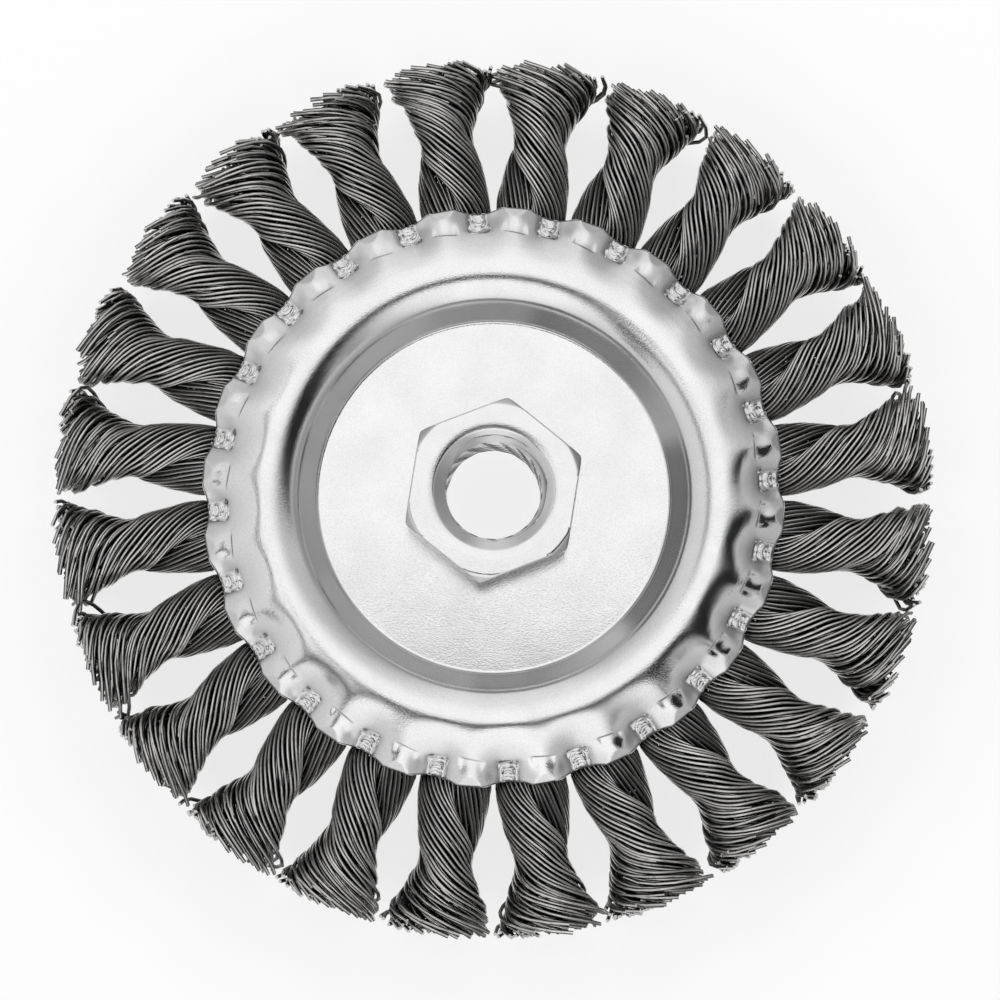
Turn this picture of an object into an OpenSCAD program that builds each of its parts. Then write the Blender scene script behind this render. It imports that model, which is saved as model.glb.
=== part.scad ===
// Knotted wire wheel brush for an angle grinder: two pressed steel cups clamp a drilled
// ring, 24 looped and twisted wire knots leave through the ring's holes, and a threaded
// hexagon nut with a swaged spigot holds the cups together.
// Millimetres, +Z along the spindle axis toward the nut. The origin is on the spindle
// axis in the mid-plane of the knots, where the two cups meet face to face.

/* [Knots] */
// Diameter over the cut wire ends
brush_d = 115; // [114:0.5:117]
// Width of a knot across its cut end, along the rim of the wheel
tip_w = 13.6; // [12.8:0.2:14]
// Thickness of a knot at its cut end, along the axis
tip_t = 12.6; // [11:0.2:12.8]
// Diameter of a knot at its narrowest, where the wires are twisted tightest
neck_d = 7.2; // [6.6:0.2:7.8]
// Diameter of one strand of a knot, a bunch of straight wires
strand_d = 3.5; // [3.3:0.1:3.5]
// Twist of a knot just outside the cups, in degrees a millimetre
twist_rate = 6; // [5:0.5:7]
// Depth of the grooves between the wire ridges, as a part of the knot's radius
groove = 0.09; // [0.05:0.01:0.1]

/* [Cups] */
// Thickness of the cups' sheet
sheet_t = 1.5; // [1.4:0.1:1.6]
// Diameter of a cup over its petals
cup_d = 75.6; // [74:0.2:77]
// How far a petal stands out past the valleys at the rim
petal_out = 0.7; // [0.4:0.1:0.8]
// Radius of the round hollow pressed into each valley
hollow_r = 4.35; // [4.2:0.05:4.5]
// Width of the folded lug in the foot of each valley
lug_w = 2.5; // [2:0.1:2.8]

/* [Ring] */
// Thickness of the drilled ring
ring_t = 2; // [1.8:0.1:2.2]
// Clearance between pieces that are slipped together
slip = 0.1; // [0.08:0.01:0.12]

/* [Nut] */
// Width of the hexagon across its flats
hex_af = 21; // [20:0.5:22]
// Height of the hexagon above the cup
hex_h = 10.5; // [9:0.5:12]
// Bore of the nut, the minor diameter of its 14 mm spindle thread
bore_d = 12.2; // [11.8:0.1:12.4]
// Diameter of the countersink in the nut's top
sink_d = 15.4; // [15:0.1:16]
// Diameter of the nut's spigot, which passes through both cups
spigot_d = 18; // [17.6:0.1:18.4]

/* [Hidden] */
$fn = 64;
knots = 24;
pitch = 360 / knots;
tip_r = brush_d / 2;
petal_tip_r = cup_d / 2;
// Rim of a cup in the valleys between its petals.
cup_r = petal_tip_r - petal_out;

// Ring: the strands lie on both of its faces and bend round through its holes.
// The circle of holes lies where the cups' crest leaves room for the loops.
hole_r = petal_tip_r - 10;
flat_r = hole_r - sheet_t - 3.7;
hole_d = strand_d + 9 * slip;
ring_in = flat_r + sheet_t + 0.4;
ring_out = hole_r + hole_d / 2 + 1;
strand_z = ring_t / 2 + slip + strand_d / 2;

// Cup: height of the crest's underside, just above the strands.
crest_z = strand_z + strand_d / 2 + 4 * slip;
crest_r = hole_r + 1.5;
// Underside of a petal at its tip, and of the hollow that presses the knots flat.
rim_z = crest_z - 1.6;
hollow_z = crest_z - 2.75;
rim_half = hollow_z - 2 * slip;
hollow_at = petal_tip_r - 1.2;
hollow_angle = 3;
scallop_r = 8;

// Underside of the front cup, from the foot of its wall out to its rim.
under = [
    [flat_r + 0.8, 0],
    [flat_r + 1.25, 0.3],
    [flat_r + 2.12, 1.38],
    [flat_r + 3.75, crest_z - 0.85],
    [flat_r + 4.3, crest_z - 0.3],
    [flat_r + 5, crest_z - 0.05],
    [crest_r, crest_z],
    [crest_r + 2.1, crest_z - 0.17],
    [crest_r + 4.5, crest_z - 0.7],
    [petal_tip_r, rim_z]
];
// Upper side of the front cup: the wall, the round crest and the slope out to the rim.
crest_top = crest_z + sheet_t;
upper = [
    [flat_r + 0.5, sheet_t],
    [flat_r + 0.85, sheet_t + 0.15],
    [flat_r + 1.2, sheet_t + 0.6],
    [flat_r + 2.65, crest_top - 1.2],
    [flat_r + 3.1, crest_top - 0.67],
    [crest_r - 2.8, crest_top - 0.34],
    [crest_r - 1.5, crest_top - 0.1],
    [crest_r, crest_top],
    [crest_r + 1.5, crest_top - 0.08],
    [crest_r + 3, crest_top - 0.32],
    [crest_r + 5.1, crest_top - 0.93],
    [petal_tip_r, rim_z + sheet_t - 0.1]
];

// A solid of revolution below a profile, down to a floor under the mid-plane.
module below(line, inner, outer, floor_z) {
    last = line[len(line) - 1];
    rotate_extrude($fn = 96)
        polygon(concat(
            [[inner, floor_z], [inner, line[0][1]]],
            line,
            outer > last[0] ? [[outer, last[1]]] : [],
            [[outer, floor_z]]
        ));
}

// The round hollows between the petals, all as balls of one radius.
module hollows(radius) {
    for (k = [0 : knots - 1])
        rotate([0, 0, hollow_angle + k * pitch])
            translate([hollow_at, 0, hollow_z + sheet_t + hollow_r])
                sphere(r = radius, $fn = 48);
}

// The scallops that the press leaves in the rim beside each petal.
module scallops() {
    for (k = [0 : knots - 1])
        rotate([0, 0, hollow_angle + k * pitch])
            translate([cup_r + scallop_r, 0, -1])
                cylinder(r = scallop_r, h = crest_z + 4, $fn = 96);
}

// The folded lugs: two small rolls of metal across the foot of each hollow.
module lugs() {
    for (k = [0 : knots - 1])
        rotate([0, 0, hollow_angle + k * pitch]) {
            translate([cup_r - 1.55, lug_w / 2, hollow_z + sheet_t + 0.15])
                rotate([90, 0, 0])
                    cylinder(r = 0.75, h = lug_w, $fn = 24);
            translate([cup_r - 0.5, lug_w / 2 - 0.2, hollow_z + sheet_t - 0.05])
                rotate([90, 0, 0])
                    cylinder(r = 0.6, h = lug_w - 0.4, $fn = 24);
        }
}

// One pressed cup, the front one: a dished centre, a raised crest over the ring, and
// a rim whose round hollows leave petals between them and squeeze the knots.
module pressing() {
    difference() {
        union() {
            difference() {
                below(upper, spigot_d / 2 + slip, petal_tip_r, 0);
                hollows(hollow_r);
                scallops();
            }
            lugs();
        }
        difference() {
            below(under, flat_r + 0.4, petal_tip_r + 4, -8);
            hollows(hollow_r + sheet_t);
        }
    }
}

module front_cup()
    color([0.80, 0.80, 0.81])
        pressing();

module rear_cup()
    color([0.76, 0.76, 0.77])
        mirror([0, 0, 1])
            pressing();

module core_ring()
    color([0.55, 0.55, 0.57])
        difference() {
            cylinder(r = ring_out, h = ring_t, center = true, $fn = 96);
            cylinder(r = ring_in, h = ring_t + 2, center = true, $fn = 96);
            for (k = [0 : knots - 1])
                rotate([0, 0, (k + 0.5) * pitch])
                    translate([hole_r, 0, 0])
                        cylinder(d = hole_d, h = ring_t + 2, center = true, $fn = 32);
        }

// Nut: a chamfered hexagon, a spigot through the cups and a lip swaged over behind.
module hex_nut()
    color([0.74, 0.74, 0.75])
        difference() {
            union() {
                intersection() {
                    translate([0, 0, sheet_t])
                        rotate([0, 0, 21])
                            cylinder(r = hex_af / sqrt(3), h = hex_h, $fn = 6);
                    rotate_extrude($fn = 96)
                        polygon([
                            [0, 0],
                            [hex_af * 0.6, 0],
                            [hex_af * 0.6, sheet_t + hex_h - hex_af * 0.05],
                            [hex_af * 0.53, sheet_t + hex_h],
                            [0, sheet_t + hex_h]
                        ]);
                }
                translate([0, 0, -sheet_t])
                    cylinder(d = spigot_d, h = 2 * sheet_t + 1, $fn = 96);
                rotate_extrude($fn = 96)
                    polygon([
                        [bore_d / 2 + 0.5, -sheet_t - 0.9],
                        [spigot_d / 2 + 0.3, -sheet_t - 0.9],
                        [spigot_d / 2 + 1.1, -sheet_t - 0.35],
                        [spigot_d / 2 + 1.1, -sheet_t],
                        [bore_d / 2 + 0.5, -sheet_t]
                    ]);
            }
            translate([0, 0, -5])
                cylinder(d = bore_d, h = hex_h + 10, $fn = 96);
            translate([0, 0, sheet_t + hex_h - (sink_d - bore_d) * 0.3])
                cylinder(
                    d1 = bore_d,
                    d2 = sink_d + (sink_d - bore_d) * 0.333,
                    h = (sink_d - bore_d) * 0.4,
                    $fn = 96
                );
            translate([0, 0, -5])
                cylinder(d = bore_d + 2.6, h = 4, $fn = 96);
        }

// Knots. A knot is free from the cups' rim to its cut end, and tightest half way out.
free = tip_r - cup_r;
// Half width along the rim of the wheel at radius u.
function half_w(u) = lookup(u, [
    [ring_out, strand_d * 0.66],
    [cup_r - 2.7, strand_d * 1.05],
    [cup_r + 0.5, cup_r * 0.1272],
    [cup_r + free * 0.12, cup_r * 0.1272],
    [cup_r + free * 0.31, (cup_r * 0.1272 + neck_d / 2) * 0.522],
    [cup_r + free * 0.5, neck_d / 2],
    [cup_r + free * 0.61, neck_d / 2 + 0.45],
    [cup_r + free * 0.755, tip_w * 0.4],
    [cup_r + free * 0.88, tip_w * 0.475],
    [tip_r, tip_w / 2]
]);
// Half thickness along the wheel's axis at radius u.
function half_t(u) = lookup(u, [
    [ring_out, crest_z - 4 * slip],
    [hollow_at - 5.1, crest_z - 6 * slip],
    [hollow_at - 4.4, hollow_z + 1.4],
    [hollow_at - 3.2, hollow_z + 0.5],
    [hollow_at - 1.6, rim_half + 0.1],
    [hollow_at, rim_half],
    [petal_tip_r + 0.3, rim_half],
    [petal_tip_r + 1.6, rim_half + 0.4],
    [cup_r + free * 0.31, (rim_half + neck_d / 2) * 0.55],
    [cup_r + free * 0.5, neck_d / 2],
    [cup_r + free * 0.61, neck_d / 2 + 0.35],
    [cup_r + free * 0.755, tip_t * 0.38],
    [cup_r + free * 0.88, tip_t * 0.46],
    [tip_r, tip_t / 2]
]);
// Angle of the two strands round the knot's own axis at radius u: one above the other at
// the ring, side by side under the cups' rim, and ever faster round outward.
function turn(u) =
    let (past = u - cup_r - 0.9)
    90 + twist_rate * past + (past > 0 ? 0.55 : -0.8) * past * past;
// How deep the seam between the two strands is.
function seam(u) = lookup(u, [
    [ring_out, 0.1],
    [cup_r - 1, 0.3],
    [cup_r + free * 0.25, 0.28],
    [cup_r + free * 0.5, 0.16],
    [cup_r + free * 0.75, 0.06]
]);

sides = 16;
rings = 13;
function ring_u(j) =
    ring_out + slip + (tip_r - ring_out - slip) * (1 - pow(1 - j / rings, 1.4));

// A point on the skin: an oval with a seam between the strands, every second point
// sunk a little, so that the ridges between run round the knot like its wires.
function skin(u, i, start) =
    let (
        a = turn(u) + start + i * 360 / sides,
        s = 1 - seam(u) * pow(sin(i * 360 / sides), 2) - (i % 2) * groove,
        v = half_w(u) * s * sin(a),
        z = half_t(u) * s * cos(a)
    )
    [u < tip_r - 0.01 ? u : sqrt(tip_r * tip_r - v * v), v, z];

// One wire knot: a loop through the ring, its two strands twisted together to the left
// and spread into a cut end that lies on the wheel's rim.
module wire_knot(k) {
    start = 7 * sin(k * 77);
    inner = ring_out + slip;
    points = concat(
        [for (j = [0 : rings]) for (i = [0 : sides - 1]) skin(ring_u(j), i, start)],
        [[tip_r, 0, 0]]
    );
    last = rings * sides;
    faces = concat(
        [[for (i = [sides - 1 : -1 : 0]) i]],
        [
            for (j = [0 : rings - 1])
                for (i = [0 : sides - 1])
                    [j * sides + i, j * sides + (i + 1) % sides, (j + 1) * sides + i]
        ],
        [
            for (j = [0 : rings - 1])
                for (i = [0 : sides - 1])
                    [
                        j * sides + (i + 1) % sides,
                        (j + 1) * sides + (i + 1) % sides,
                        (j + 1) * sides + i
                    ]
        ],
        [for (i = [0 : sides - 1]) [last + sides, last + i, last + (i + 1) % sides]]
    );
    rotate([0, 0, (k + 0.5) * pitch])
        union() {
            polyhedron(points = points, faces = faces);
            for (side = [-1, 1])
                translate([hole_r, 0, side * strand_z])
                    rotate([0, 90, 0])
                        cylinder(d = strand_d, h = inner + 0.5 - hole_r, $fn = 24);
            for (side = [-1, 1])
                translate([hole_r, 0, side * strand_z])
                    sphere(d = strand_d, $fn = 24);
            translate([hole_r, 0, -strand_z])
                cylinder(d = strand_d, h = 2 * strand_z, $fn = 24);
        }
}

wire_grey = [0.30, 0.30, 0.31];
module knot_01() color(wire_grey) wire_knot(0);
module knot_02() color(wire_grey) wire_knot(1);
module knot_03() color(wire_grey) wire_knot(2);
module knot_04() color(wire_grey) wire_knot(3);
module knot_05() color(wire_grey) wire_knot(4);
module knot_06() color(wire_grey) wire_knot(5);
module knot_07() color(wire_grey) wire_knot(6);
module knot_08() color(wire_grey) wire_knot(7);
module knot_09() color(wire_grey) wire_knot(8);
module knot_10() color(wire_grey) wire_knot(9);
module knot_11() color(wire_grey) wire_knot(10);
module knot_12() color(wire_grey) wire_knot(11);
module knot_13() color(wire_grey) wire_knot(12);
module knot_14() color(wire_grey) wire_knot(13);
module knot_15() color(wire_grey) wire_knot(14);
module knot_16() color(wire_grey) wire_knot(15);
module knot_17() color(wire_grey) wire_knot(16);
module knot_18() color(wire_grey) wire_knot(17);
module knot_19() color(wire_grey) wire_knot(18);
module knot_20() color(wire_grey) wire_knot(19);
module knot_21() color(wire_grey) wire_knot(20);
module knot_22() color(wire_grey) wire_knot(21);
module knot_23() color(wire_grey) wire_knot(22);
module knot_24() color(wire_grey) wire_knot(23);

hex_nut();
front_cup();
rear_cup();
core_ring();
knot_01();
knot_02();
knot_03();
knot_04();
knot_05();
knot_06();
knot_07();
knot_08();
knot_09();
knot_10();
knot_11();
knot_12();
knot_13();
knot_14();
knot_15();
knot_16();
knot_17();
knot_18();
knot_19();
knot_20();
knot_21();
knot_22();
knot_23();
knot_24();
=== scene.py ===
"""Looks for a knotted wire wheel brush: 24 knots of single wires, two pressed and zinc-plated
cups with petalled rims, and a threaded hexagon nut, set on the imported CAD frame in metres."""

import math

import bpy
import numpy as np
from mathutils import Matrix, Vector


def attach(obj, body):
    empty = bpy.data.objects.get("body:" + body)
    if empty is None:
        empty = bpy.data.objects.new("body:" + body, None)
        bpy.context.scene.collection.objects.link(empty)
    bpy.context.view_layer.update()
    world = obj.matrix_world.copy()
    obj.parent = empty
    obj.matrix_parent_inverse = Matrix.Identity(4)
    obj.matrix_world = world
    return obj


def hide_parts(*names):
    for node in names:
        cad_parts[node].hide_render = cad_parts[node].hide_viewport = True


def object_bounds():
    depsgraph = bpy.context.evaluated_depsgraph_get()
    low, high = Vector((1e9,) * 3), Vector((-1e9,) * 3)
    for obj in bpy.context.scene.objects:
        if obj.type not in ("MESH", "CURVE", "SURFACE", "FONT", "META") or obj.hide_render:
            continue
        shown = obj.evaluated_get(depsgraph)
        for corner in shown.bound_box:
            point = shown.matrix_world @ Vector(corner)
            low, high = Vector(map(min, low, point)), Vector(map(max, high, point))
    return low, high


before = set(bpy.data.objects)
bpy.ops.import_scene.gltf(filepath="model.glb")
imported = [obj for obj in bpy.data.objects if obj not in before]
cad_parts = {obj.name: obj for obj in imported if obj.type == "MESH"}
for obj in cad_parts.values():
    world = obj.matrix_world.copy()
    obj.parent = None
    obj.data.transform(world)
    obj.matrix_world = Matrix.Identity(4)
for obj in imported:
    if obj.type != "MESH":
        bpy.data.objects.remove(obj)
CAD_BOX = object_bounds()
MM = 0.001

# Sizes in millimetres, the same as the solids'
KNOTS = 24
PITCH = 2 * math.pi / KNOTS
TIP_R = 57.5
SHEET = 1.5
PETAL_TIP_R = 37.8
CUP_R = 37.1
HOLE_CIRCLE_R = 27.8
FLAT_R = 22.6
CREST_R = 29.3
CREST_Z = 5.0
RIM_Z = 3.4
HOLLOW_Z = 2.25
HOLLOW_AT = 36.6
HOLLOW_R = 4.35
SCALLOP_R = 8.0
HOLLOW_ANGLE = math.radians(3.0)
LUG_W = 2.5
STRAND_Z = 2.85
STRAND_R = 1.75
BORE_EDGE_R = 9.1
WIRE_R = 0.27
HEX_AF = 21.0
HEX_TURN = math.radians(21.0)
NUT_TOP = 11.999
HEX_TOP_R = 11.0
BORE_R = 6.1
THREAD_PITCH = 2.0
THREAD_DEEP = 0.95


# Shader maths
class Socket:
    """Wraps a node socket, so that arithmetic on it adds Math nodes."""

    def __init__(self, paint, socket):
        self.paint, self.socket = paint, socket

    def math(self, operation, *others):
        return self.paint.node("ShaderNodeMath", {"operation": operation}, {0: self, **dict(enumerate(others, 1))})

    def __add__(self, other):
        return self.math("ADD", other)

    def __sub__(self, other):
        return self.math("SUBTRACT", other)

    def __mul__(self, other):
        return self.math("MULTIPLY", other)

    def __truediv__(self, other):
        return self.math("DIVIDE", other)

    def __pow__(self, other):
        return self.math("POWER", other)

    def __rsub__(self, other):
        return self.paint.node("ShaderNodeMath", {"operation": "SUBTRACT"}, {0: other, 1: self})

    __radd__ = __add__
    __rmul__ = __mul__

    def out(self, name):
        return Socket(self.paint, self.socket.node.outputs[name])


class Paint:
    """One material or world, with a method that adds any node."""

    def __init__(self, tree):
        self.tree = tree
        self.tree.nodes.clear()

    def node(self, kind, settings=None, inputs=None, output=0):
        made = self.tree.nodes.new(kind)
        for key, value in (settings or {}).items():
            if key == "stops":
                ramp = made.color_ramp
                while len(ramp.elements) < len(value):
                    ramp.elements.new(0.5)
                for element, (at, shade) in zip(ramp.elements, value):
                    element.position = at
                    element.color = (*((shade,) * 3 if isinstance(shade, (int, float)) else shade), 1.0)
            else:
                setattr(made, key, value)
        for key, value in (inputs or {}).items():
            if isinstance(value, Socket):
                self.tree.links.new(value.socket, made.inputs[key])
            else:
                made.inputs[key].default_value = value
        return Socket(self, made.outputs[output])

    def finish(self, shader, kind="ShaderNodeOutputMaterial"):
        self.tree.links.new(shader.socket, self.tree.nodes.new(kind).inputs["Surface"])

    def place(self):
        return self.node("ShaderNodeTexCoord").out("Object")

    def noise(self, where, scale, detail=3.0, rough=0.5):
        return self.node(
            "ShaderNodeTexNoise",
            {"noise_dimensions": "3D"},
            {"Vector": where, "Scale": scale, "Detail": detail, "Roughness": rough},
        )

    def mix(self, factor, a, b):
        made = self.tree.nodes.new("ShaderNodeMix")
        made.data_type = "RGBA"
        for index, value in ((0, factor), (6, a), (7, b)):
            if isinstance(value, Socket):
                self.tree.links.new(value.socket, made.inputs[index])
            elif index == 0:
                made.inputs[index].default_value = value
            else:
                made.inputs[index].default_value = (*value, 1.0)
        return Socket(self, made.outputs[2])

    def between(self, value, low, high, to_low, to_high):
        return self.node(
            "ShaderNodeMapRange",
            {"clamp": True},
            {"Value": value, "From Min": low, "From Max": high, "To Min": to_low, "To Max": to_high},
        )


def new_paint(name):
    made = bpy.data.materials.new(name)
    made.use_nodes = True
    return made, Paint(made.node_tree)


def plated(name, dark, light, rough, clouds_scale=160.0):
    """Bright zinc over steel: soft clouds and a fine grain in colour and roughness, and the same
    grain as a bump, which frays the edges of what the metal mirrors. The dull attribute
    marks painted shade: where it is set, the colour is darkened toward dark grey as shade."""
    made, p = new_paint(name)
    where = p.place()
    clouds = p.noise(where, clouds_scale, 3.0)
    grain = p.noise(where, 5600.0, 2.0, 0.6)
    shade = p.between(clouds * 0.45 + grain * 0.55, 0.3, 0.7, 0.0, 1.0)
    # Painted shade: the dull attribute darkens the colour toward dark grey where shade falls.
    dull = p.node("ShaderNodeAttribute", {"attribute_name": "dull"}).out("Fac")
    bump = p.node("ShaderNodeBump", None, {"Strength": 0.5, "Distance": 0.000022, "Height": grain + clouds * 0.6})
    p.finish(
        p.node(
            "ShaderNodeBsdfPrincipled",
            None,
            {
                "Base Color": p.mix(dull * 0.92, p.mix(shade, dark, light), (0.16, 0.158, 0.155)),
                "Metallic": 1.0,
                "Roughness": p.between(shade, 0.0, 1.0, rough + 0.03, rough - 0.03),
                "Normal": bump,
            },
        )
    )
    return made


def wire_steel():
    """Dark tempered wire with painted light: a painted highlight along the outward side of each
    wire, and painted shade on its flanks, where it lies against its neighbours. The tone attribute
    varies from wire to wire, rubbed marks the outward side where the highlight is
    painted, and cut the bright sheared ends."""
    made, p = new_paint("wire_steel")
    tone = p.node("ShaderNodeAttribute", {"attribute_name": "tone"}).out("Fac")
    rubbed = p.node("ShaderNodeAttribute", {"attribute_name": "rubbed"}).out("Fac")
    cut = p.node("ShaderNodeAttribute", {"attribute_name": "cut"}).out("Fac")
    spots = p.noise(p.place(), 900.0, 2.0)
    bright = p.mix(tone, (0.62, 0.612, 0.604), (1.0, 0.985, 0.97))
    dark = p.mix(tone, (0.045, 0.044, 0.043), (0.085, 0.083, 0.081))
    # Painted light: the bright colour on each wire's outward side is a painted highlight, and the dark colour on its
    # flanks is painted shade.
    color = p.mix(p.between(rubbed, 0.52, 0.88, 0.0, 1.0), dark, bright)
    color = p.mix(p.between(spots, 0.55, 0.75, 0.0, 0.45), color, (0.05, 0.048, 0.047))
    color = p.mix(cut, color, (0.88, 0.875, 0.87))
    rough = p.between(tone, 0.0, 1.0, 0.32, 0.24) + cut * 0.3
    metal = 1.0 - cut * 0.6
    p.finish(p.node("ShaderNodeBsdfPrincipled", None, {"Base Color": color, "Metallic": metal, "Roughness": rough}))
    return made


def ring_steel():
    """Punched steel ring, oiled and dark."""
    made, p = new_paint("ring_steel")
    shade = p.noise(p.place(), 500.0, 4.0)
    p.finish(
        p.node(
            "ShaderNodeBsdfPrincipled",
            None,
            {
                "Base Color": p.mix(shade, (0.22, 0.215, 0.21), (0.38, 0.375, 0.37)),
                "Metallic": 1.0,
                "Roughness": p.between(shade, 0.3, 0.7, 0.35, 0.5),
            },
        )
    )
    return made


# Meshes
def make_piece(name, points, faces, material, node, attributes=None):
    """A smooth-shaded mesh from an (n, 3) array in millimetres and an (m, 4) array of corner
    numbers, in which a triangle repeats its last corner."""
    mesh = bpy.data.meshes.new(name)
    triangle = faces[:, 3] == faces[:, 2]
    count = np.where(triangle, 3, 4)
    start = np.concatenate([[0], np.cumsum(count)[:-1]]).astype(np.int32)
    keep = np.ones(faces.shape, bool)
    keep[triangle, 3] = False
    corners = faces[keep].astype(np.int32)
    mesh.vertices.add(len(points))
    mesh.vertices.foreach_set("co", (points * MM).astype(np.float32).ravel())
    mesh.loops.add(len(corners))
    mesh.polygons.add(len(faces))
    mesh.polygons.foreach_set("loop_start", start)
    mesh.polygons.foreach_set("vertices", corners)
    mesh.polygons.foreach_set("use_smooth", np.ones(len(faces), bool))
    for key, values in (attributes or {}).items():
        mesh.attributes.new(key, "FLOAT", "POINT").data.foreach_set("value", values.astype(np.float32))
    mesh.update(calc_edges=True)
    mesh.validate()
    piece = bpy.data.objects.new(name, mesh)
    bpy.context.scene.collection.objects.link(piece)
    piece.data.materials.append(material)
    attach(piece, "root")
    if node:
        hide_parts(node)
    return piece


def grid_faces(rows, columns, wrap_rows, wrap_columns):
    """Corner numbers of the quads of a rows by columns grid of points, closed where asked."""
    i = np.arange(rows if wrap_rows else rows - 1)[:, None]
    j = np.arange(columns if wrap_columns else columns - 1)[None, :]
    i2, j2 = (i + 1) % rows, (j + 1) % columns
    quads = np.stack([i * columns + j, i * columns + j2, i2 * columns + j2, i2 * columns + j], -1)
    return quads.reshape(-1, 4)


def smoothstep(value, low, high):
    t = np.clip((value - low) / (high - low), 0, 1)
    return t * t * (3 - 2 * t)


def soft_line(points, width, lo, hi):
    """A broken line through the points as a function, its corners rounded over width by a
    running mean of its values."""
    at = np.linspace(lo - 2 * width, hi + 2 * width, 1600)
    known = np.array(points, float)
    value = np.interp(at, known[:, 0], known[:, 1])
    first = (known[1, 1] - known[0, 1]) / (known[1, 0] - known[0, 0])
    last = (known[-1, 1] - known[-2, 1]) / (known[-1, 0] - known[-2, 0])
    value = np.where(at < known[0, 0], known[0, 1] + (at - known[0, 0]) * first, value)
    value = np.where(at > known[-1, 0], known[-1, 1] + (at - known[-1, 0]) * last, value)
    step = at[1] - at[0]
    half = max(1, int(width / step / 2))
    window = np.hanning(2 * half + 3)[1:-1]
    value = np.convolve(value, window / window.sum(), mode="same")
    return lambda x: np.interp(x, at, value)


# Cups
CREST_TOP = CREST_Z + SHEET
UPPER_LINE = (
    [(5.0, SHEET), (22.95, SHEET), (23.15, SHEET + 0.15), (25.2, CREST_TOP - 1.45), (25.7, CREST_TOP - 1.0),
     (26.5, CREST_TOP - 0.64), (27.2, CREST_TOP - 0.4), (27.8, CREST_TOP - 0.225), (28.7, CREST_TOP - 0.058),
     (29.6, CREST_TOP), (30.3, CREST_TOP - 0.02), (31.2, CREST_TOP - 0.1), (32.3, CREST_TOP - 0.28),
     (33.3, CREST_TOP - 0.52), (34.4, CREST_TOP - 0.86), (PETAL_TIP_R, RIM_Z + SHEET - 0.1)]
)
UNDER = soft_line(
    [(5.0, 0.0), (23.55, 0.0), (24.72, 1.38), (26.35, CREST_Z - 0.85), (27.6, CREST_Z - 0.05), (CREST_R, CREST_Z),
     (31.4, CREST_Z - 0.17), (33.8, CREST_Z - 0.7), (PETAL_TIP_R, RIM_Z)],
    0.7, 8.0, 39.0,
)
FOOT = soft_line(UPPER_LINE, 0.2, 8.0, 39.0)
SLOPE = soft_line(UPPER_LINE, 0.6, 8.0, 39.0)
shapes = np.random.default_rng(5)
LUG_SHIFT, LUG_TALL, LUG_TILT = shapes.normal(0, (0.12, 0.08, 0.10), (KNOTS, 3)).T
MARK_SHIFT, MARK_DEEP, FACET_SHIFT = shapes.normal(0, (0.22, 0.2, 0.12), (KNOTS, 3)).T


def upper(r):
    """The cup's upper profile: crisp at the foot of the wall and softer beyond."""
    return FOOT(r) + (SLOPE(r) - FOOT(r)) * smoothstep(r, 23.7, 24.6)


def soft_max(a, b, blend):
    """The larger of two heights, with the join between them rounded."""
    return np.maximum(a, b) + blend * np.log1p(np.exp(-np.abs(a - b) / blend))


def around(theta, middle):
    """The angle from the nearest of 24 middles, and which of them it is."""
    turns = (theta - middle) / PITCH
    near = np.floor(turns + 0.5)
    return (turns - near) * PITCH, near.astype(int) % KNOTS


def ball(r, theta, middle, at, height, radius):
    """Height of the lower half of 24 balls, and far above outside of them. A ball's centre
    lies at the given distance from the axis and at its radius above the height."""
    angle, _ = around(theta, middle)
    away = r * r + at * at - 2 * r * at * np.cos(angle)
    return height + radius - np.sqrt(np.maximum(radius**2 - away, 0.0)) + 40 * np.maximum(away - radius**2, 0)


def cup_top(r, theta):
    """Upper side of a cup: the revolved profile, sunk between the petals in soft valleys that
    deepen from the crest to the rim, with a moat close round each lug, a shallow dimple beside
    it, the facet and the tool mark of each petal, and the lugs themselves."""
    angle, which = around(theta, HOLLOW_ANGLE + PITCH / 2)
    across = r * np.sin(angle)
    side = np.abs(angle) / (PITCH / 2)
    z = upper(r) - (1.3 + 0.1 * MARK_DEEP[which]) * smoothstep(r, 29.8, 39.0) * smoothstep(side, 0.0, 1.0)
    edge = PETAL_TIP_R - 0.15 - 1.05 * (1 - ((across - FACET_SHIFT[which]) / 1.5) ** 2)
    z = z - 0.3 * np.maximum(r - edge, 0) * smoothstep(1.5 - np.abs(across), 0.0, 0.2)
    mark = 34.35 + 0.15 * MARK_SHIFT[which] + 0.12 * (across - MARK_SHIFT[which])
    step = smoothstep(r, mark - 0.08, mark + 0.08) * (1 - smoothstep(r, mark + 0.3, mark + 2.2))
    z = z - 0.16 * (1 + MARK_DEEP[which]) * step * smoothstep(1.7 - np.abs(across - MARK_SHIFT[which]), 0.0, 0.5)
    angle, which = around(theta, HOLLOW_ANGLE)
    across = r * np.sin(angle) + LUG_SHIFT[which]
    away = np.hypot(np.maximum(np.abs(across) - 0.8, 0), np.maximum(CUP_R - 2.0 - r, 0))
    z = z - 0.55 * np.exp(-((away / 0.62) ** 2)) - 0.3 * np.exp(-(((across + 1.9) / 0.9) ** 2) - ((r - 36.2) / 1.1) ** 2)
    inside = 1 / (1 + np.exp((np.abs(across) - 0.8) / 0.06))
    bow = 0.5 * across**2 + 0.5 * LUG_TILT[which] * across
    tall = 1 + LUG_TALL[which]
    first = np.exp(-(((r - (CUP_R - 1.6) - bow) / 0.42) ** 2)) * (1 - 0.1 * np.cos(across * 3.1 + 9 * LUG_TILT[which]))
    second = np.exp(-(((r - (CUP_R - 0.4) - bow * 0.4) / 0.4) ** 2))
    return z + inside * (0.8 * tall * first + 0.65 * second)


def cup_under(r, theta):
    under = ball(r, theta, HOLLOW_ANGLE, HOLLOW_AT, HOLLOW_Z, HOLLOW_R + SHEET)
    return -soft_max(-UNDER(r), -under, 0.12)


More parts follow.
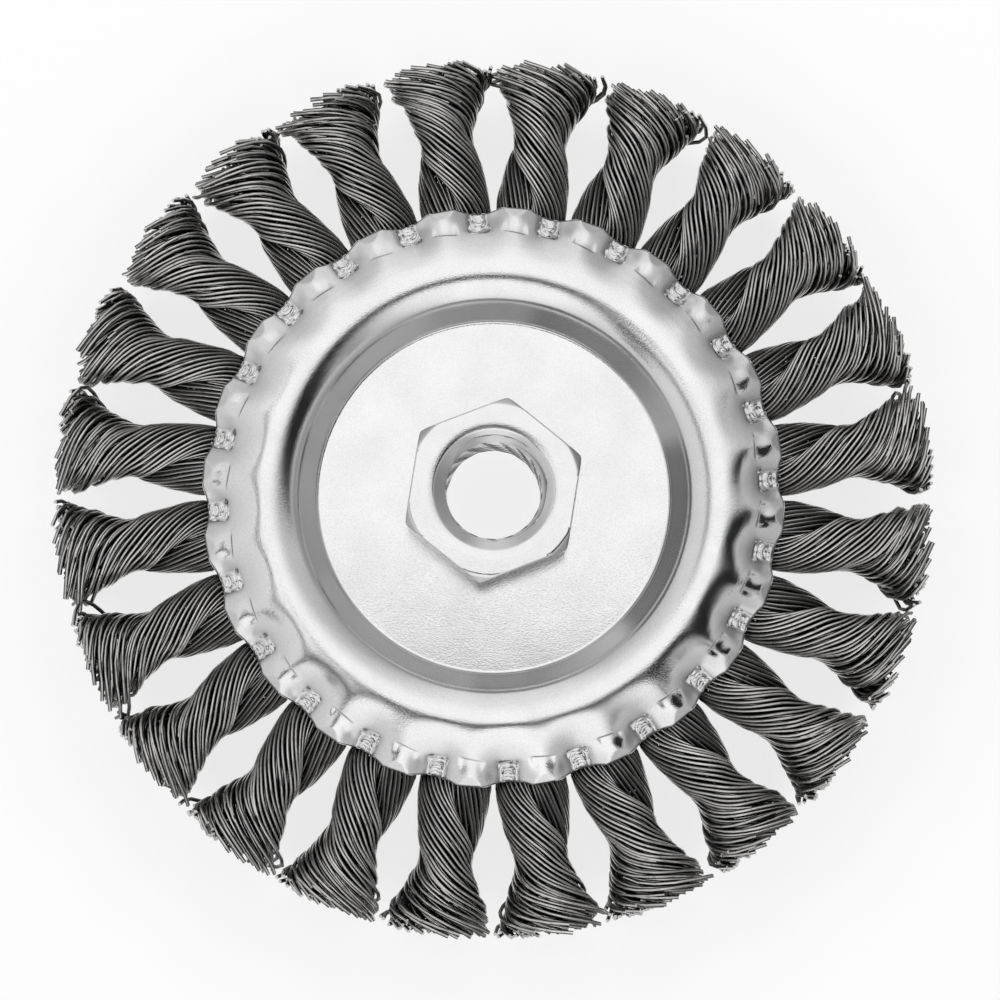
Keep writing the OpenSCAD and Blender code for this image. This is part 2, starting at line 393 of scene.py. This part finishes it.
def rim_radius(theta):
    """Scalloped edge: a round bite beside each petal, with its corner to the rim eased."""
    angle, _ = around(theta, HOLLOW_ANGLE)
    centre = CUP_R + SCALLOP_R
    bite = centre * np.cos(angle) - np.sqrt(np.maximum(SCALLOP_R**2 - (centre * np.sin(angle)) ** 2, 0))
    bite = np.where(np.abs(centre * np.sin(angle)) < SCALLOP_R, bite, 50.0)
    return -soft_max(-bite, np.full_like(bite, -PETAL_TIP_R), 0.05) + 0.03


def cup(name, side, node, columns_fine, columns_rough, rows):
    """A pressed cup as one closed surface: out along its upper side, round its rim and back
    along its underside. Angles crowd near the lugs, radii near the bends and the rim."""
    near = np.linspace(-1.55, 1.55, columns_fine) / CUP_R
    far = np.linspace(1.55 / CUP_R, PITCH - 1.55 / CUP_R, columns_rough + 2)[1:-1]
    one = np.concatenate([near, far]) + HOLLOW_ANGLE
    theta = (one[None, :] + np.arange(KNOTS)[:, None] * PITCH).ravel()[None, :]
    dense = np.array([BORE_EDGE_R + 0.1, 22.4, 23.4, 25.9, 27.5, 31.8, 34.1, 34.7, PETAL_TIP_R])
    share = np.array([0.0, 0.05, 0.11, 0.22, 0.29, 0.39, 0.50, 0.60, 1.0])
    rho = np.concatenate([[BORE_EDGE_R], np.interp(np.linspace(0, 1, rows), share, dense)])[:, None]
    scale = rim_radius(theta) / PETAL_TIP_R - 1
    edge_round = 0.28
    r_top = rho * (1 + scale * smoothstep(rho, 36.0, PETAL_TIP_R)) - edge_round * smoothstep(rho, 36.5, PETAL_TIP_R)
    low_rho = np.concatenate([rho[:2], rho[4::3]])[::-1]
    low_rho[0] = PETAL_TIP_R
    r_low = low_rho * (1 + scale * smoothstep(low_rho, 36.0, PETAL_TIP_R))
    r_low = r_low - edge_round * smoothstep(low_rho, 36.5, PETAL_TIP_R)
    top, low = cup_top(r_top, theta), cup_under(r_low, theta)
    turn = np.linspace(0, 1, 6)[1:-1][:, None]
    edge_r = r_top[-1:] + edge_round * np.sin(turn * math.pi)
    edge_z = top[-1:] + (low[:1] - top[-1:]) * (0.5 - 0.5 * np.cos(turn * math.pi))
    r = np.concatenate([r_top, edge_r, r_low])
    z = np.concatenate([top, edge_z, low])
    points = np.stack([r * np.cos(theta), r * np.sin(theta), z * side], -1)
    faces = grid_faces(*z.shape, True, True)
    if side > 0:
        faces = faces[:, ::-1]
    return make_piece(name, points.reshape(-1, 3), np.roll(faces, 1, axis=1), ZINC, node)


# Knots
HALF_W = soft_line(
    [(30, 2.2), (31, 2.31), (34.4, 3.7), (37.6, 4.75), (39.5, 4.8), (42.6, 4.5), (44.7, 4.12), (46.8, 3.58),
     (47.8, 3.55), (48.9, 3.84), (51.0, 4.72), (53.1, 5.66), (55.2, 6.45), (57.5, 6.95)],
    1.2, 30, 58,
)
HALF_T = soft_line(
    [(30, 4.6), (31.3, 4.5), (32.2, 3.7), (33.4, 2.75), (35, 2.15), (38.0, 2.05), (40, 2.55), (43.4, 3.15),
     (47.3, 3.6), (49.5, 3.95), (52.5, 4.85), (55, 5.75), (57.5, 6.2)],
    1.0, 30, 58,
)
FULLNESS = soft_line([(30, 0.0), (38.5, 0.0), (43, 0.35), (47, 0.7), (52, 0.88), (58, 0.92)], 2.0, 30, 58)
# Wires of a strand: how many, how far from its middle, where they begin, and points along each.
# The inner ones show at their cut ends alone, so they begin late.
WIRE_RINGS = ((23, 0.97, 31.3, 33), (14, 0.70, 38.0, 22), (7, 0.38, 50.0, 8), (16, 0.84, 52.0, 6), (9, 0.55, 52.0, 6))


def knot_turn(r):
    """Angle of the two strands about the knot's own axis: one above the other at the ring, side
    by side under the cups' rim, and ever faster round outward."""
    past = r - 38.0
    return np.radians(90 + 6 * past + np.where(past > 0, 0.55, -0.8) * past**2)


def knot_paths(rng, count, radius, start, steps):
    """Centre lines of one ring of wires in both strands, (wires, steps, 3), in the knot's own
    frame with X out along its axis, and for each wire the angle of its own outward side. Each
    strand is a disc at the cup and is squeezed to half a disc further out, while both turn
    about the knot's axis. The distance from the wheel's axis is the parameter."""
    paths, sides = [], []
    for strand in (1, -1):
        t = (np.arange(count) + rng.uniform(0, 1)) / count * 2 * math.pi
        a, b = radius * np.cos(t)[:, None], radius * np.sin(t)[:, None]
        end = TIP_R - 0.34 - np.abs(rng.normal(0, 0.9, count)) - 3.0 * (rng.random(count) < 0.12) * rng.random(count)
        r = start + (end - start)[:, None] * np.linspace(0, 1, steps)[None, :] ** 0.8
        full = FULLNESS(r)
        disc_x = (a + np.sqrt(np.maximum(1 - b**2, 0))) / 2
        x = strand * ((1 - full) * (0.5 + 0.5 * a) + full * disc_x)
        y = strand * b * (0.75 + 0.25 * full)
        loose = 0.02 + 0.09 * smoothstep(r, 46, 57.5)
        wave = rng.uniform(0, 2 * math.pi, (4, count, 1))
        pace = rng.uniform(0.25, 0.7, (2, count, 1))
        x = x + loose * np.sin(r * pace[0] + wave[0]) * 0.8
        y = y + loose * np.sin(r * pace[1] + wave[1]) * 0.8
        turn = knot_turn(r) + 0.2 * smoothstep(r, 48, 57.5) * np.sin(wave[2] + r * 0.35)
        sine, cosine = np.sin(turn), np.cos(turn)
        half, tall = (1 - full) * 0.5, (0.75 + 0.25 * full) ** 2
        wide = half * np.abs(sine) + np.sqrt((1 - half) ** 2 * sine**2 + tall * cosine**2)
        high = half * np.abs(cosine) + np.sqrt((1 - half) ** 2 * cosine**2 + tall * sine**2)
        v = (x * sine + y * cosine) / wide * (HALF_W(r) - WIRE_R)
        z = (x * cosine - y * sine) / high * (HALF_T(r) - WIRE_R)
        stray = (rng.random((count, 1)) < 0.12) * rng.uniform(0.3, 1.0, (count, 1)) * smoothstep(r, 49, 57) ** 2
        v = np.clip(v * (1 + 0.32 * stray), -7.9, 7.9)
        z = np.clip(z * (1 + 0.12 * stray), -6.1, 6.1)
        paths.append(np.stack([np.sqrt(np.maximum(r**2 - v**2, 1.0)), v, z], -1))
        sides.append(np.arctan2(v, z))
    return np.concatenate(paths), np.concatenate(sides)


def loop_paths(count=9, steps=13):
    """The bend of a strand through its hole in the ring: half an oval that joins the strand
    above the ring to the one below, as a ring of thicker wires."""
    t = np.arange(count)[:, None] / count * 2 * math.pi
    bend = np.linspace(-0.25, 1.25, steps)[None, :] * math.pi
    inside = np.clip(bend, 0, math.pi)
    lead = (bend < 0) * -bend + (bend > math.pi) * (bend - math.pi)
    middle_u = HOLE_CIRCLE_R + 1.9 - 1.9 * np.sin(inside) + lead * 2.4
    middle_z = STRAND_Z * np.cos(inside)
    out_u, out_z = -np.sin(inside), np.cos(inside)
    a, b = 1.3 * np.cos(t), 1.3 * np.sin(t) + 0 * bend
    paths = np.stack([middle_u + a * out_u, b, middle_z + a * out_z], -1)
    return paths, np.full(paths.shape[:2], math.pi / 2)


def tube_mesh(paths, side_angle, radius, sides, tone):
    """Closed round tubes along the paths: each ring stands square to its path, and both ends
    are closed by a flat face with its own corners."""
    wires, steps, _ = paths.shape
    along = np.gradient(paths, axis=1)
    along /= np.linalg.norm(along, axis=2, keepdims=True)
    out = np.stack([np.zeros_like(side_angle), np.sin(side_angle), np.cos(side_angle)], -1)
    side = np.cross(along, out)
    side /= np.linalg.norm(side, axis=2, keepdims=True)
    out = np.cross(side, along)
    t = np.arange(sides) / sides * 2 * math.pi
    ring = np.cos(t)[None, None, :, None] * out[:, :, None, :] + np.sin(t)[None, None, :, None] * side[:, :, None, :]
    body = paths[:, :, None, :] + radius * ring
    points = np.concatenate([body, body[:, :1], body[:, -1:]], axis=1)
    per_wire = (steps + 2) * sides
    base = (np.arange(wires) * per_wire)[:, None, None]
    wall = grid_faces(steps, sides, False, True)[None]
    faces = (wall + base).reshape(-1, 4)
    k = np.arange(sides)
    fan = np.stack([np.zeros(sides - 2, int), k[1:-1], k[2:], k[2:]], -1)
    first = (fan[:, [0, 2, 1, 1]] + steps * sides)[None] + base
    last = (fan + (steps + 1) * sides)[None] + base
    faces = np.concatenate([faces, first.reshape(-1, 4), last.reshape(-1, 4)])
    cut = np.zeros((wires, steps + 2, sides))
    cut[:, -1] = 1
    tones = np.broadcast_to(tone[:, None, None], cut.shape)
    # Painted light: 1 on each wire's outward side, where a highlight is painted, falling to 0 on the flanks, which are
    # painted dark as shade.
    rubbed = np.broadcast_to(np.clip(np.cos(t), 0, 1), cut.shape)
    return points.reshape(-1, 3), faces, tones.ravel(), cut.ravel(), rubbed.ravel()


def turned(points, angle):
    c, s = math.cos(angle), math.sin(angle)
    return points @ np.array([[c, s, 0], [-s, c, 0], [0, 0, 1]])


def knot(index):
    """One knot of the brush, its wires as single tubes."""
    rng = np.random.default_rng(700 + index)
    parts = []
    for ring in WIRE_RINGS:
        paths, side_angle = knot_paths(rng, *ring)
        parts.append(tube_mesh(paths, side_angle, WIRE_R, 5, rng.beta(2, 3, len(paths))))
    parts.append(tube_mesh(*loop_paths(), 0.44, 5, np.zeros(9)))
    first = np.cumsum([0] + [len(part[0]) for part in parts])
    points, tone, cut, rubbed = (np.concatenate([part[k] for part in parts]) for k in (0, 2, 3, 4))
    faces = np.concatenate([part[1] + start for part, start in zip(parts, first)])
    number = "%02d" % (index + 1)
    points = turned(points, (index + 0.5) * PITCH)
    fields = {"tone": tone, "cut": cut, "rubbed": rubbed}
    return make_piece("knot_wires_" + number, points, faces, WIRE, "knot_" + number, fields)


# Nut
def hex_radius(theta):
    """Radius of a hexagon with slightly rounded corners."""
    a = (theta - HEX_TURN + math.pi / 6) % (math.pi / 3) - math.pi / 6
    return HEX_AF / 2 / np.cos((math.pi / 6 - np.sqrt(a * a + 0.0006)) * 0.999)


def nut():
    """The nut as one closed surface: up its flats, over the corner chamfer and the top face,
    down the countersink and the thread, and back over the swaged lip and the spigot."""
    per_side = 30
    corner = np.linspace(-1, 1, per_side, endpoint=False)
    corner = np.sign(corner) * np.abs(corner) ** 1.3
    theta = (HEX_TURN + (np.arange(6)[:, None] * 2 + corner[None, :]) * math.pi / 6).ravel()[None, :]
    hexagon = hex_radius(theta)
    rows = [(np.full_like(theta, 9.0), height) for height in (0.2, SHEET)]
    for height in [SHEET, SHEET + 0.15, *np.linspace(4.0, 10.6, 5), *np.linspace(11.0, NUT_TOP - 0.02, 12)]:
        cone = HEX_TOP_R + (NUT_TOP - height) * 1.7
        bevel = max(0.16 - (NUT_TOP - height), 0.0)
        reach = -soft_max(bevel - hexagon, np.full_like(theta, -cone), 0.04)
        rows.append((reach - (0.12 if height == SHEET else 0), height))
    reach = -soft_max(0.16 - hexagon, np.full_like(theta, -HEX_TOP_R), 0.04)
    rows += [(reach - 0.02, NUT_TOP), (reach - 0.3, NUT_TOP)]
    rows += [(np.full_like(theta, radius), NUT_TOP - drop) for radius, drop in ((9.0, 0), (7.85, 0), (7.68, 0.06))]
    for height in np.linspace(NUT_TOP - 0.06, -1.0, 110)[1:]:
        phase = ((height / THREAD_PITCH - theta / (2 * math.pi)) % 1.0) * 2 - 1
        wall = BORE_R + THREAD_DEEP * np.clip((1 - np.abs(phase)) * 1.35 - 0.17, 0, 1)
        rows.append((np.maximum(wall, 7.68 - (NUT_TOP - 0.06 - height) * 1.6), height))
    behind = (7.4, -1.0), (7.4, -2.2), (7.6, -2.4), (9.2, -2.4), (10.0, -1.95), (10.1, -1.6), (10.0, -SHEET), (9.0, -SHEET), (9.0, 0.0)
    rows += [(np.full_like(theta, radius), height) for radius, height in behind]
    r = np.concatenate([row[0] for row in rows])
    z = np.concatenate([np.full_like(theta, row[1]) for row in rows])
    points = np.stack([r * np.cos(theta), r * np.sin(theta), z], -1)
    faces = grid_faces(*z.shape, True, True)
    # Painted shade: the flats below the chamfer and the thread grooves in the bore are painted darker as shade.
    level, width = points[:, :, 2], np.hypot(points[:, :, 0], points[:, :, 1])
    flats = (level < NUT_TOP - 0.15) & (width > HEX_AF / 2 - 0.9) & (level > 0)
    grooves = (level < NUT_TOP - 1.2) * (width < 7.3) * smoothstep(width, BORE_R + 0.2, BORE_R + 0.7)
    dull = np.where(flats, 0.3, 0.8 * grooves)
    fields = {"dull": dull.ravel()}
    made = make_piece("hex_nut_threaded", points.reshape(-1, 3), faces, NUT, "hex_nut", fields)
    made.data.set_sharp_from_angle(angle=math.radians(24))
    return made


ZINC = plated("zinc_plate", (0.81, 0.81, 0.815), (0.97, 0.97, 0.968), 0.11)
NUT = plated("nut_steel", (0.82, 0.82, 0.825), (0.93, 0.93, 0.926), 0.11, 300.0)
WIRE = wire_steel()
RING = ring_steel()

cup("front_cup_pressed", 1, "front_cup", 15, 21, 78)
cup("rear_cup_pressed", -1, "rear_cup", 10, 12, 46)
nut()
for number in range(KNOTS):
    knot(number)

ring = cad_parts["core_ring"]
ring.data.materials.clear()
ring.data.materials.append(RING)

# Floor: white to the camera, and a little grey where the brush shades it
floor_z = CAD_BOX[0][2] - 0.00005


def staged(name, corners, faces):
    mesh = bpy.data.meshes.new(name)
    mesh.from_pydata(corners, [], faces)
    made = bpy.data.objects.new(name, mesh)
    bpy.context.scene.collection.objects.link(made)
    material, p = new_paint(name + "_paint")
    made.data.materials.append(material)
    return made, p


floor, p = staged("floor", [(x, y, floor_z) for x, y in ((-1.5, -1.5), (1.5, -1.5), (1.5, 1.5), (-1.5, 1.5))], [(0, 1, 2, 3)])
rays = p.node("ShaderNodeLightPath")
seen = rays.out("Is Camera Ray").math("MAXIMUM", rays.out("Is Glossy Ray")).math("MAXIMUM", rays.out("Is Transmission Ray"))
body = p.node("ShaderNodeBsdfDiffuse", None, {"Color": p.mix(seen, (0.80, 0.80, 0.80), (0.30, 0.30, 0.30))})
glow = p.node("ShaderNodeEmission", None, {"Color": (1, 1, 1, 1), "Strength": seen * 0.76})
p.finish(p.node("ShaderNodeAddShader", None, {0: body, 1: glow}))

# Dark camera with its arm to the right, an elbow and a post to the left and two legs, which only
# the metal mirrors
T = np.linspace(0, 2 * math.pi, 33)[:-1]
disc = [(0.048 * math.cos(t), -0.051 + 0.031 * math.sin(t), 0.42) for t in T]
arm = [(0.0, -0.066, 0.42), (0.33, -0.16, 0.42), (0.36, 0.10, 0.42), (0.06, -0.018, 0.42), (0.0, -0.018, 0.42)]
legs = [(-0.30, -0.22, 0.42), (-0.28, -0.25, 0.42), (0.02, -0.05, 0.42), (0.28, -0.25, 0.42), (0.30, -0.22, 0.42), (-0.02, -0.02, 0.42)]
elbow = [(-0.02, -0.06, 0.42), (-0.055, -0.045, 0.42), (-0.062, -0.02, 0.42), (-0.05, -0.008, 0.42), (-0.03, -0.02, 0.42)]
post = [(-0.165, -0.16, 0.42), (-0.135, -0.16, 0.42), (-0.135, 0.10, 0.42), (-0.165, 0.10, 0.42)]
parts = [tuple(range(32)), (32, 33, 34, 35, 36), (37, 38, 39, 42), (42, 39, 40, 41), (43, 44, 45, 46, 47), (48, 49, 50, 51)]
rig, p = staged("camera_rig", disc + arm + legs + elbow + post, parts)
p.finish(p.node("ShaderNodeBsdfDiffuse", None, {"Color": (0.02, 0.02, 0.02, 1)}))
rig.visible_camera = rig.visible_diffuse = rig.visible_shadow = False

# World: a white room, a little dimmer toward its walls and darkest low on the right
world = bpy.data.worlds.new("studio")
bpy.context.scene.world = world
world.use_nodes = True
w = Paint(world.node_tree)
rays = w.node("ShaderNodeLightPath")
east = w.node("ShaderNodeSeparateXYZ", None, {"Vector": w.node("ShaderNodeTexCoord").out("Generated")})
north, up = east.out("Y"), east.out("Z")
walls = w.between(up, 0.10, 0.85, 0.60, 1.0)
right = w.between(east, 0.14, 0.42, 0.0, 0.45) + w.between(east, 0.65, 0.90, 0.0, 0.25)
left = w.between(east, -0.42, -0.18, 1.0, 0.0)
back = w.between(north, 0.35, 0.60, 0.0, 1.0)
mirrored = walls * (1.0 - right) * (1.0 - left * 0.28) * (1.0 - back * 0.15)
shiny = rays.out("Is Glossy Ray").math("MAXIMUM", rays.out("Is Transmission Ray"))
seen = rays.out("Is Camera Ray")
level = seen.math("MAXIMUM", shiny * mirrored).math("MAXIMUM", (1.0 - shiny) * 0.35)
w.finish(w.node("ShaderNodeBackground", None, {"Color": (1, 1, 1, 1), "Strength": level}), "ShaderNodeOutputWorld")


def lamp(name, at, width, depth, brightness):
    """A square soft lamp at a place, facing the brush, of an even brightness."""
    light = bpy.data.lights.new(name, "AREA")
    light.shape = "RECTANGLE"
    light.size, light.size_y, light.energy = width, depth, brightness * math.pi * width * depth
    made = bpy.data.objects.new(name, light)
    bpy.context.scene.collection.objects.link(made)
    made.visible_glossy = False
    made.location = at
    made.rotation_euler = (-Vector(at)).to_track_quat("-Z", "Y").to_euler()


lamp("lamp_back", (0.0, 0.48, 0.32), 0.50, 0.24, 2.4)
lamp("lamp_left", (-0.48, 0.0, 0.30), 0.40, 0.20, 2.3)
lamp("lamp_right", (0.48, 0.05, 0.30), 0.40, 0.20, 2.0)
lamp("lamp_front", (0.0, -0.48, 0.30), 0.45, 0.22, 2.2)

# Camera: almost straight down, leaning a little so that the top of the nut shifts up
ELEVATION = math.radians(85.0)
DISTANCE = 0.409
AIM = Vector((0.0, 0.0, 0.0))
camera = bpy.data.cameras.new("camera")
eye = bpy.data.objects.new("camera", camera)
bpy.context.scene.collection.objects.link(eye)
camera.sensor_fit = "HORIZONTAL"
camera.sensor_width = 36.0
camera.lens = 36.0 * DISTANCE / 0.1310
camera.clip_start, camera.clip_end = 0.01, 10.0
camera.dof.use_dof = False
camera.shift_x, camera.shift_y = 0.0065, -0.0022
eye.location = AIM + DISTANCE * Vector((0, -math.cos(ELEVATION), math.sin(ELEVATION)))
eye.rotation_euler = (AIM - eye.location).to_track_quat("-Z", "Y").to_euler()
bpy.context.scene.camera = eye
bpy.context.scene.view_settings.view_transform = "Standard"
